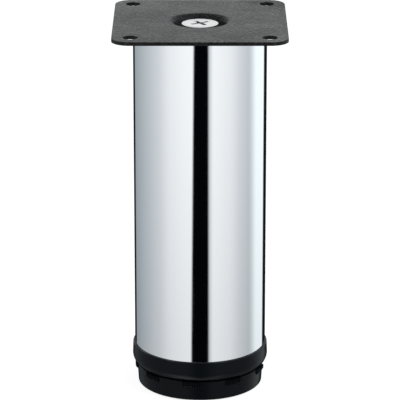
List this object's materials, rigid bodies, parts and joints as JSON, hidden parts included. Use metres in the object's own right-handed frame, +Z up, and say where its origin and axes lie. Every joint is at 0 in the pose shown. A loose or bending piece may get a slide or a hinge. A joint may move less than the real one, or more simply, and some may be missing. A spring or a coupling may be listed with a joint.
{
  "type": "height adjustable table leg",
  "caption": "Round chrome table leg with a dished square screw-on plate on top, and a black collar and ribbed screw foot below that turns to set the height.",
  "frame": {"origin": "on the floor under the tube's axis, at the underside of the floor glide", "axes": "+Z up along the tube towards the mounting plate; X and Y square with the plate's sides"},
  "size_m": [0.0776, 0.0776, 0.1715],
  "materials": {
    "chrome": "mirror chrome plate on steel tube",
    "textured_coating": "fine textured black-grey powder coat on steel",
    "zinc": "bright zinc plate on steel",
    "bare_steel": "plain steel",
    "black_moulding": "satin black moulded plastic",
    "glide_plastic": "dull dark grey moulded plastic"
  },
  "bodies": {
    "leg": {"leg_tube": "chrome", "mounting_plate": "textured_coating", "plate_screw": "zinc", "flat_washer": "zinc", "top_disc": "bare_steel", "weld_nut": "bare_steel", "collar": "black_moulding", "collar_nut": "zinc"},
    "glide": {"glide_pad": "glide_plastic"},
    "foot": {"foot": "black_moulding", "adjuster_stud": "zinc"}
  },
  "joints": [
    {"name": "foot_travel", "type": "slide", "parent": "leg", "child": "glide", "axis": [0, 0, -1], "range_m": [-0.001, 0.0135]},
    {"name": "foot_turn", "type": "hinge", "parent": "glide", "child": "foot", "pos_m": [0, 0, 0], "axis": [0, 0, -1], "range_deg": [-240, 3240]}
  ],
  "couplings": [
    {"joint": "foot_travel", "follows": "foot_turn", "m_per_rad": 0.00023873}
  ]
}
